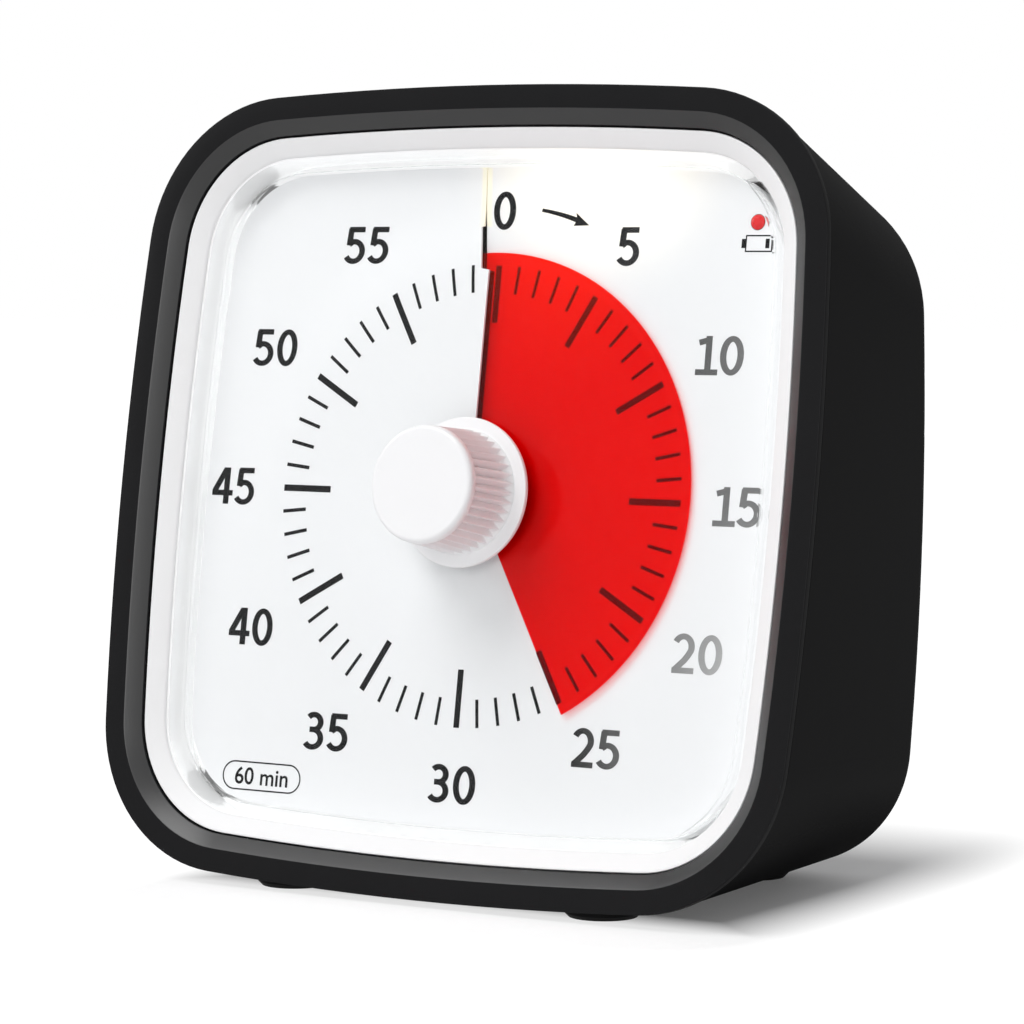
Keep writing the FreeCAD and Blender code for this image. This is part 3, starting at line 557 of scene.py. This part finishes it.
class Recipe:
    # A Geometry Nodes group with named inputs, run once to make a mesh.
    def __init__(self, name, kinds):
        self.tree = bpy.data.node_groups.new(name, "GeometryNodeTree")
        self.graph = Graph(self.tree)
        sides = self.tree.interface
        sides.new_socket("Geometry", in_out="INPUT", socket_type="NodeSocketGeometry")
        self.sockets = {}
        for key, kind in (*kinds.items(), ("Material", "Material")):
            socket = sides.new_socket(key, in_out="INPUT", socket_type="NodeSocket" + kind)
            self.sockets[key] = socket.identifier
        sides.new_socket("Geometry", in_out="OUTPUT", socket_type="NodeSocketGeometry")
        start = self.tree.nodes.new("NodeGroupInput")
        self.given = {s.name: Wire(self.tree, s) for s in start.outputs if s.name}

    def run(self, base, geometry, key, values):
        # Makes instances real and gives them their finish.
        real = self.graph.node("GeometryNodeRealizeInstances", Geometry=geometry)
        painted = self.graph.node("GeometryNodeSetMaterial", Geometry=real, Material=self.given["Material"])
        feed(self.tree, painted, self.tree.nodes.new("NodeGroupOutput").inputs[0])
        holder = bpy.data.objects.new("holder", base)
        nodes = holder.modifiers.new("recipe", "NODES")
        nodes.node_group = self.tree
        for name, value in values.items():
            nodes[self.sockets[name]] = value
        nodes[self.sockets["Material"]] = finish[key].material
        return bake(holder)


def makeTicks(marks):
    recipe = Recipe("dialTicks", {name: "Int" if name == "Count" else "Float" for name in marks})
    graph, given = recipe.graph, recipe.given
    index = graph.node("GeometryNodeInputIndex")
    major = index.math("MODULO", 5.0).math("LESS_THAN", 0.5)
    inner = given["Minor Inner"] + major * (given["Major Inner"] - given["Minor Inner"])
    wide = given["Minor Width"] + major * (given["Major Width"] - given["Minor Width"])
    long = given["Outer"] - inner
    middle = inner + long * 0.5
    turn = index / given["Count"] * (-2 * math.pi)
    at = graph.node("ShaderNodeCombineXYZ", X=turn.math("SINE") * middle * -1.0, Y=turn.math("COSINE") * middle)
    line = graph.node("GeometryNodeMeshLine", Count=given["Count"], Offset=(0, 0, 0))
    ring = graph.node("GeometryNodeSetPosition", Geometry=line, Position=at)
    bar = graph.node("GeometryNodeMeshGrid", Size_X=1.0, Size_Y=1.0, Vertices_X=3, Vertices_Y=9)
    size = graph.node("ShaderNodeCombineXYZ", X=wide, Y=long, Z=1.0)
    spin = graph.node("ShaderNodeCombineXYZ", Z=turn)
    bars = graph.node("GeometryNodeInstanceOnPoints", Points=ring, Instance=bar, Scale=size, Rotation=spin)
    mesh = recipe.run(bpy.data.meshes.new("ticksBase"), bars, "ink", marks)
    for v in mesh.vertices:
        v.co = onDial(v.co.x, v.co.y, cardLevel(v.co.x, v.co.y) + inkLift)
    return dress("dialTicks", mesh, "ink", "housing", sharp=0)


ticks = {"Count": 60, "Outer": 40.18, "Minor Inner": 35.3, "Major Inner": 30.15, "Minor Width": 0.62,
         "Major Width": 1.15}
makeTicks(ticks)


# Numerals are drawn with a pen that is a little wider across than up.
pen = dict(across=0.093, up=0.075)


def arc(cx, cy, rx, ry, start, end, steps=22):
    points = []
    for k in range(steps + 1):
        a = math.radians(start + (end - start) * k / steps)
        points.append((cx + rx * math.cos(a), cy + ry * math.sin(a)))
    return points


strokes = {
    "0": [arc(0.335, 0.5, 0.252, 0.434, 0, 360, 44)],
    "1": [[(0.13, 0.825), (0.42, 0.90)], [(0.42, 1.0), (0.42, 0.05)], [(0.06, 0.066), (0.72, 0.066)]],
    "2": [arc(0.31, 0.665, 0.245, 0.27, 152, -18) + [(0.47, 0.46), (0.36, 0.32), (0.08, 0.06)],
          [(0.02, 0.066), (0.66, 0.066)]],
    "3": [arc(0.30, 0.735, 0.22, 0.20, 142, -88), arc(0.285, 0.30, 0.265, 0.235, 88, -146),
          [(0.17, 0.535), (0.31, 0.535)]],
    "4": [[(0.435, 0.97), (0.07, 0.33)], [(0.0, 0.305), (0.69, 0.305)], [(0.475, 1.0), (0.475, 0.0)]],
    "5": [[(0.10, 0.934), (0.61, 0.934)], [(0.165, 0.96), (0.125, 0.50)],
          [(0.125, 0.525), (0.19, 0.565)] + arc(0.285, 0.335, 0.275, 0.27, 100, -148)]}


def stroke(line, across, up):
    # A strip of quads along a line, square at its ends.
    left, right = [], []
    for k, (x, y) in enumerate(line):
        ax, ay = line[max(k - 1, 0)]
        bx, by = line[min(k + 1, len(line) - 1)]
        size = math.hypot(bx - ax, by - ay) or 1.0
        nx, ny = -(by - ay) / size, (bx - ax) / size
        left.append((x + nx * across, y + ny * up))
        right.append((x - nx * across, y - ny * up))
    count = len(line)
    return left + right, [(k, k + count, k + count + 1, k + 1) for k in range(count - 1)]


def addFlat(name, shapes, key):
    # Flat print on the card from (points, faces) pairs in dial millimetres.
    points, faces = [], []
    for some, links in shapes:
        first = len(points)
        points += [(x, y, cardLevel(x, y) + inkLift) for x, y in some]
        faces += [tuple(first + v for v in link) for link in links]
    return addPiece(name, points, faces, key, "housing", slot="dial_card", sharp=0)


numerals = dict(
    tall=6.55, advance=0.775, wide=0.67,
    places={"0": (0.6, 49.7), "5": (26.1, 43.4), "10": (45.2, 25.0), "15": (50.9, -0.25), "20": (45.8, -25.0),
            "25": (28.0, -41.9), "30": (0.0, -49.9), "35": (-26.9, -42.6), "40": (-45.1, -25.0),
            "45": (-51.6, 0.0), "50": (-45.2, 25.1), "55": (-27.4, 43.6)})
for words, (x, y) in numerals["places"].items():
    tall = numerals["tall"]
    long = numerals["wide"] + numerals["advance"] * (len(words) - 1)
    shapes = []
    for place, digit in enumerate(words):
        for line in strokes[digit]:
            some, links = stroke(line, pen["across"], pen["up"])
            shift = place * numerals["advance"] - long / 2
            shapes.append(([(x + (u + shift) * tall, y + (v - 0.5) * tall) for u, v in some], links))
    addFlat("numeral" + words, shapes, "numeralInkAndGlare")


def frameStroke(points, thick):
    return stroke(points, thick / 2, thick / 2)


def block(x, y, wide, tall):
    points = [(x - wide / 2, y - tall / 2), (x + wide / 2, y - tall / 2), (x + wide / 2, y + tall / 2),
              (x - wide / 2, y + tall / 2)]
    return points, [(0, 1, 2, 3)]


arrow = dict(
    start=(8.2, 49.75), end=(17.9, 47.05), rise=0.28, shaft=0.78, thin=0.75, swell=0.4, head=3.3, barb=1.15,
    neck=0.8, lowBarb=0.93, steps=10)


def makeArrow(made):
    (ax, ay), (bx, by) = made["start"], made["end"]
    turn = math.atan2(by - ay, bx - ax)
    long = math.hypot(bx - ax, by - ay)

    def put(u, v):
        lift = 4 * made["rise"] * (u / long) * (1 - u / long)
        return (ax + u * math.cos(turn) - (v + lift) * math.sin(turn),
                ay + u * math.sin(turn) + (v + lift) * math.cos(turn))

    steps = made["steps"]
    reach = long - made["head"] * made["neck"]
    points = []
    for half in (made["shaft"] / 2, -made["shaft"] / 2):
        for k in range(steps + 1):
            points.append(put(reach * k / steps, half * (made["thin"] + made["swell"] * k / steps)))
    faces = [(k, k + steps + 1, k + steps + 2, k + 1) for k in range(steps)]
    tip = len(points)
    points += [put(long, 0), put(long - made["head"], made["barb"]), put(reach, 0),
               put(long - made["head"] * made["lowBarb"], -made["barb"])]
    faces += [(tip, tip + 1, tip + 2), (tip, tip + 2, tip + 3)]
    addFlat("arrow", [(points, faces)], "ink")


makeArrow(arrow)

# An ink ring on the card: painted shade for the dark rim of the well that the battery lamp sits in.
lampWellShade = dict(x=50.6, y=47.5, radius=1.27, line=0.2)
wellShadeRing = arc(lampWellShade["x"], lampWellShade["y"], lampWellShade["radius"], lampWellShade["radius"], 0, 360, 40)
addFlat("lampWellShade", [frameStroke(wellShadeRing, lampWellShade["line"])], "ink")

# Battery sign below its lamp: a frame, its pole on the left and its charge inside.
sign = dict(
    x=51.1, y=43.9, wide=4.9, tall=2.65, line=0.24, pole=(0.75, 1.55), poleOut=0.45, charge=(0.75, 1.6),
    chargeIn=0.85)


def makeSign(made):
    x, y, wide, tall, line = (made[key] for key in ("x", "y", "wide", "tall", "line"))
    shapes = [block(x, y + side * tall / 2, wide, line) for side in (1, -1)]
    shapes += [block(x + side * wide / 2, y, line, tall + line) for side in (-1, 1)]
    shapes += [block(x - wide / 2 - made["poleOut"], y, *made["pole"]),
               block(x + wide / 2 - made["chargeIn"], y, *made["charge"])]
    addFlat("batterySign", shapes, "ink")


makeSign(sign)

# Rounded label for the dial's span.
pill = dict(x=-39.9, y=-51.45, wide=16.6, tall=4.9, line=0.26, words="60 min", letters=3.1, bold=0.012)


def makePill(made):
    radius = made["tall"] / 2
    reach = made["wide"] / 2 - radius
    loop = [(x + made["x"], y + made["y"]) for x, y in
            arc(reach, 0, radius, radius, -90, 90, 20) + arc(-reach, 0, radius, radius, 90, 270, 20)]
    loop.append(loop[0])
    addFlat("pillRing", [frameStroke(loop, made["line"])], "ink")
    curve = bpy.data.curves.new("pillWords", "FONT")
    curve.body = made["words"]
    curve.resolution_u = 5
    curve.offset = made["bold"]
    mesh = bake(bpy.data.objects.new("pillWords", curve))
    xs = [v.co.x for v in mesh.vertices]
    ys = [v.co.y for v in mesh.vertices]
    grow = made["letters"] / (max(ys) - min(ys))
    for v in mesh.vertices:
        x = (v.co.x - (min(xs) + max(xs)) / 2) * grow + made["x"]
        y = (v.co.y - (min(ys) + max(ys)) / 2) * grow + made["y"]
        v.co = onDial(x, y, cardLevel(x, y) + inkLift)
    dress("pillWords", mesh, "ink", "housing", sharp=0)


makePill(pill)
print("dial print done")


# Knob: lathe form whose flutes are pressed in by Geometry Nodes.
knobSizes = dict(
    flutes=40, perFlute=12, depth=1.05, blunt=1.12, core=9.98, fluteLow=6.0, fluteHigh=16.9, ramp=1.35,
    foot=[(3.0, 2.6), (5.8, 2.6), (6.0, 2.8), (6.0, 4.6), (12.7, 4.6), (12.95, 4.7), (13.0, 4.95), (13.0, 5.3),
          (12.9, 5.52), (12.7, 5.6), (11.2, 5.6), (10.9, 5.7), (10.8, 5.95)],
    side=dict(low=10.8, high=10.1, start=6.0, tall=11.6, rows=46),
    cap=[(10.06, 17.85), (9.95, 18.1), (9.75, 18.33), (9.5, 18.46), (9.3, 18.5), (9.15, 18.5)], top=18.5)


def latheKnob(made):
    side = made["side"]
    profile = list(made["foot"])
    for k in range(side["rows"] + 1):
        t = k / side["rows"]
        profile.append((side["low"] + (side["high"] - side["low"]) * t, side["start"] + side["tall"] * t))
    profile += made["cap"]
    steps = made["flutes"] * made["perFlute"]
    points = []
    for radius, level in profile:
        for k in range(steps):
            a = 2 * math.pi * k / steps
            points.append((radius * math.cos(a), radius * math.sin(a), level))
    faces = []
    last = (len(profile) - 1) * steps
    for first in range(0, last, steps):
        for k in range(steps):
            n = (k + 1) % steps
            faces.append((first + k, first + n, first + steps + n, first + steps + k))
    faces += [(last + k, last + (k + 1) % steps, len(points)) for k in range(steps)]
    points.append((0, 0, made["top"]))
    mesh = bpy.data.meshes.new("knobBase")
    mesh.from_pydata(points, [], faces)
    return mesh


def makeKnob(made):
    values = {"Flutes": float(made["flutes"]), "Depth": made["depth"], "Low": made["fluteLow"],
              "High": made["fluteHigh"], "Ramp": made["ramp"]}
    recipe = Recipe("knobFlutes", {name: "Float" for name in values})
    graph, given = recipe.graph, recipe.given
    place = graph.node("GeometryNodeInputPosition")
    x, y, z = (graph.node("ShaderNodeSeparateXYZ", axis, Vector=place) for axis in range(3))
    phase = (y.math("ARCTAN2", x) / (2 * math.pi) + 1.0) * given["Flutes"]
    across = (phase.math("FRACT") - 0.5).math("ABSOLUTE") * 2.0
    vee = given["Depth"] * (across * -made["blunt"] + 1.0)
    upper = (given["High"] - z) / given["Ramp"]
    lower = (z - given["Low"]) / given["Ramp"]
    dip = vee.math("MINIMUM", upper).math("MINIMUM", lower).math("MAXIMUM", 0.0)
    radius = (x * x + y * y).math("SQRT")
    outside = radius.math("GREATER_THAN", made["core"])
    factor = (radius - dip * outside) / radius.math("MAXIMUM", 0.01)
    spot = graph.node("ShaderNodeCombineXYZ", X=x * factor, Y=y * factor, Z=z)
    moved = graph.node("GeometryNodeSetPosition", Geometry=given["Geometry"], Position=spot)
    solid = recipe.run(latheKnob(made), moved, "knobWhite", values)
    for v in solid.vertices:
        v.co = dialMatrix @ (v.co * mm)
    return dress("knob", solid, "knobWhite", "knob_shaft", instead=["knob"], sharp=22)


makeKnob(knobSizes)
print("knob done")

# CAD pieces whose shape is right take their finish here.
coats = {
    "rear_housing": "shellBlackShaded", "feet": "rubberBlack", "housing_screws": "platedSteel",
    "chassis_plate": "platePaintedLight", "time_disc": "redFilm", "disc_hub": "nylon",
    "shaft": "platedSteel", "movement_case": "switchBlack", "movement_cover": "switchBlack",
    "movement_screws": "platedSteel", "output_wheel": "nylon", "idler_wheel": "nylon", "rotor": "nylon",
    "stator": "platedSteel", "coil": "copperWire", "light_guide": "clearGuide", "night_light_led": "ledWarm",
    "battery_led": "ledRed", "battery_bay": "mouldGrey", "battery_cells": "cellWrap",
    "contact_plates": "platedSteel", "contact_springs": "platedSteel", "battery_door": "shellBlackShaded",
    "circuit_board": "boardGreen", "board_pillars": "satinBlack", "sounder": "switchBlack",
    "sound_switch_body": "platedSteel", "sound_switch": "switchBlack", "light_switch_body": "switchBlack",
    "light_button": "switchBlack"}
for node, key in coats.items():
    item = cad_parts[node]
    for place in range(len(item.data.materials)):
        item.data.materials[place] = finish[key].material
    if not item.data.materials:
        item.data.materials.append(finish[key].material)


# Rays that see the backdrop as plain white.
lookRays = ("Is Camera Ray", "Is Glossy Ray", "Is Transmission Ray")

# The floor glows white away from the part and keeps its shadow near it, except in front and to the left, where
# the glow is painted light that lifts the shadow close to the part. Lengths are metres.
floorSizes = dict(
    half=6, glow=1.12, side=0.045, deep=0.035, behindShare=0.35, start=0.006, fade=0.02, least=0.08,
    frontFrom=0.02, frontSteep=80.0, frontShare=0.65, leftFrom=0.04, leftSteep=60.0, leftShare=0.9)


def makeStage(made):
    half = made["half"]
    floor = bpy.data.meshes.new("floor")
    floor.from_pydata([(-half, -half, 0), (half, -half, 0), (half, half, 0), (-half, half, 0)], [],
                      [(0, 1, 2, 3)])
    item = bpy.data.objects.new("floor", floor)
    bpy.context.scene.collection.objects.link(item)
    pale = Finish("floorPale", (0.86, 0.86, 0.87), 0.6)
    pale.mottle(3, 0.004)
    across, deep = pale.axis(0), pale.axis(1)
    besides = (across.math("ABSOLUTE") - made["side"]).math("MAXIMUM", 0.0)
    ahead = (deep * -1.0 - made["deep"]).math("MAXIMUM", 0.0)
    behind = ((deep - made["deep"]) * made["behindShare"]).math("MAXIMUM", 0.0)
    beyond = ahead + behind
    away = (besides * besides + beyond * beyond).math("SQRT")
    far = ((away - made["start"]) * (1 / made["fade"])).clamp() * (1 - made["least"]) + made["least"]
    # Painted light: glow in front of and to the left of the part, over its shadow.
    front = ((deep * -1.0 - made["frontFrom"]) * made["frontSteep"]).clamp() * made["frontShare"]
    left = ((across * -1.0 - made["leftFrom"]) * made["leftSteep"]).clamp() * made["leftShare"]
    share = pale.graph.rays(*lookRays) * far.math("MAXIMUM", front).math("MAXIMUM", left)
    glow = pale.graph.node("ShaderNodeEmission", Color=(1.0, 1.0, 1.0, 1.0), Strength=made["glow"])
    pale.blend(share, pale.plain, glow)
    floor.materials.append(pale.material)


def makeWorld(strength):
    world = bpy.data.worlds.new("studio")
    world.use_nodes = True
    bpy.context.scene.world = world
    tree = world.node_tree
    back = tree.nodes["Background"]
    back.inputs["Color"].default_value = (1, 1, 1, 1)
    feed(tree, Graph(tree).rays(*lookRays) * (1.0 - strength) + strength, back.inputs["Strength"])


def addLamp(name, place, target, wide, tall, power):
    light = bpy.data.lights.new(name, "AREA")
    light.shape = "RECTANGLE"
    light.size = wide
    light.size_y = tall
    light.energy = power
    item = bpy.data.objects.new(name, light)
    bpy.context.scene.collection.objects.link(item)
    item.location = place
    item.rotation_euler = (Vector(target) - Vector(place)).to_track_quat("-Z", "Y").to_euler()


lamps = [
    dict(name="topSoft", place=(-0.4, -0.75, 1.35), target=(0, 0, 0.05), wide=1.0, tall=0.9, power=14),
    dict(name="keyLeft", place=(-1.5, -1.0, 0.8), target=(0, 0, 0.07), wide=0.7, tall=0.7, power=3.8),
    dict(name="frontRight", place=(0.6, -1.8, 0.5), target=(0, 0, 0.07), wide=0.8, tall=0.8, power=8.5),
]
makeStage(floorSizes)
makeWorld(strength=0.26)
for lamp in lamps:
    addLamp(**lamp)

camera = bpy.data.cameras.new("camera")
camera.lens = shot["lens"]
camera.sensor_width = shot["sensor"]
camera.clip_start = 0.01
camera.clip_end = 50
view = bpy.data.objects.new("camera", camera)
bpy.context.scene.collection.objects.link(view)
right, up = Vector(shot["right"]), Vector(shot["up"])
axes = Matrix((right, up, right.cross(up))).transposed().to_4x4()
eye = Vector(shot["eye"]) * shot["unit"] * mm
view.matrix_world = dialMatrix @ Matrix.Translation(eye) @ axes
bpy.context.scene.camera = view
bpy.context.scene.view_settings.view_transform = "Standard"
